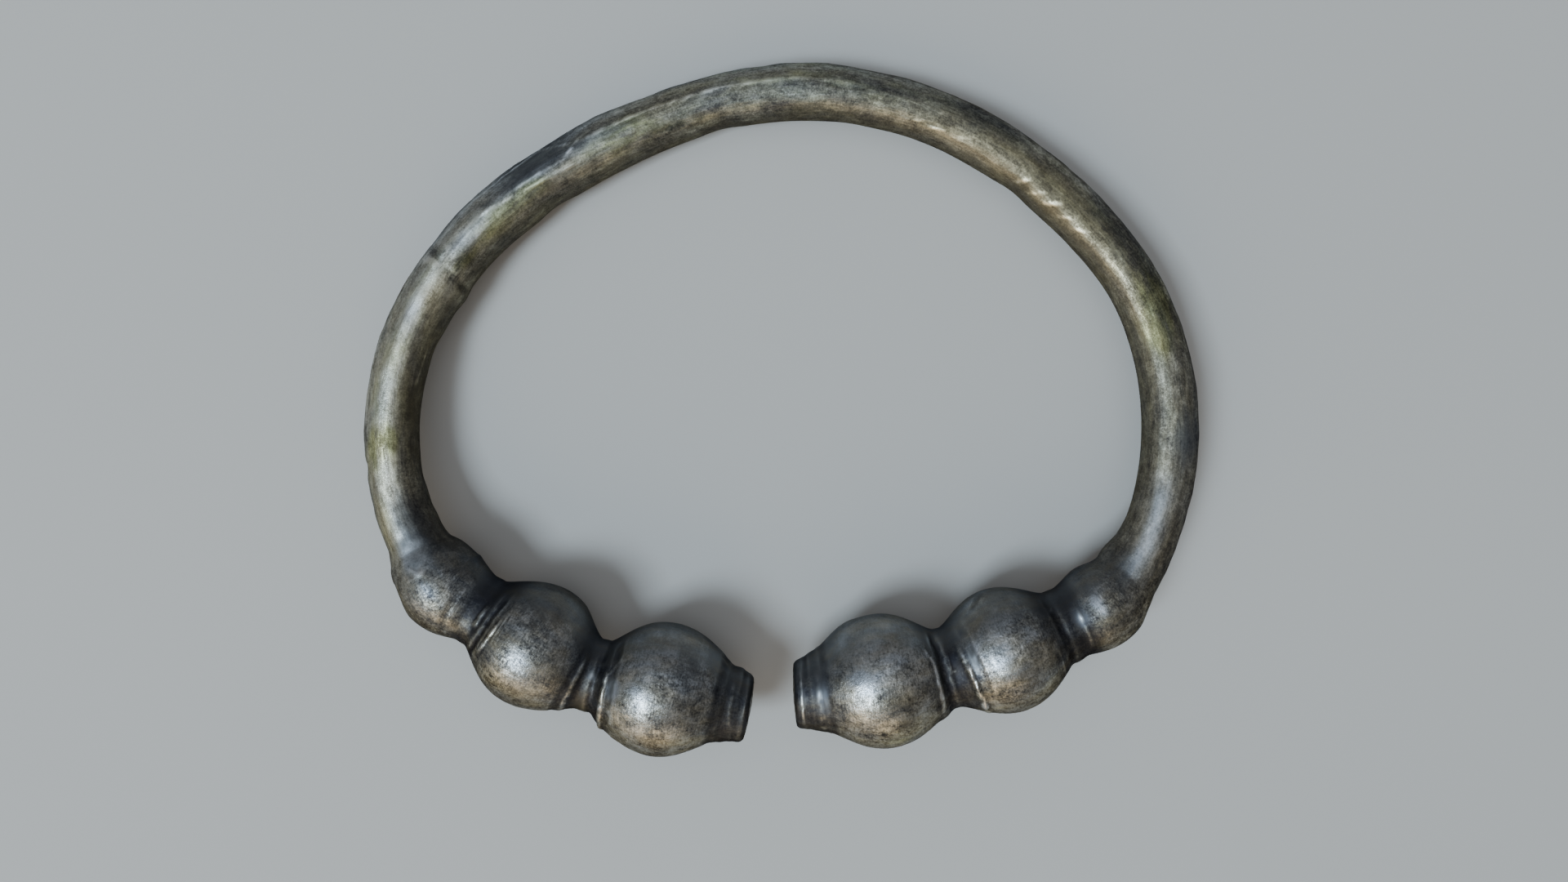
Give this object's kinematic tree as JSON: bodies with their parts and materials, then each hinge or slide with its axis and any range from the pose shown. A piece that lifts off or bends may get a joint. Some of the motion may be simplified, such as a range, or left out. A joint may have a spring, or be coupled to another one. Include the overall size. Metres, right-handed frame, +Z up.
{
  "type": "silver bracelet",
  "caption": "Open oval hoop of round silver rod with beaded terminals and plain sleeves at the opening, worn on the wrist.",
  "frame": {"origin": "middle of the footprint, on the surface that the bracelet lies on", "axes": "+X along the hoop's width, +Y from the opening towards the hoop's back, +Z up from the surface it lies on"},
  "size_m": [0.07, 0.058, 0.0109],
  "materials": {
    "silver": "old silver with worn bright places, a dark blue-black and brown tarnish in the hollows and on the arm's side, and fine dark speckling"
  },
  "bodies": {
    "root": {"bracelet": "silver"}
  },
  "joints": []
}
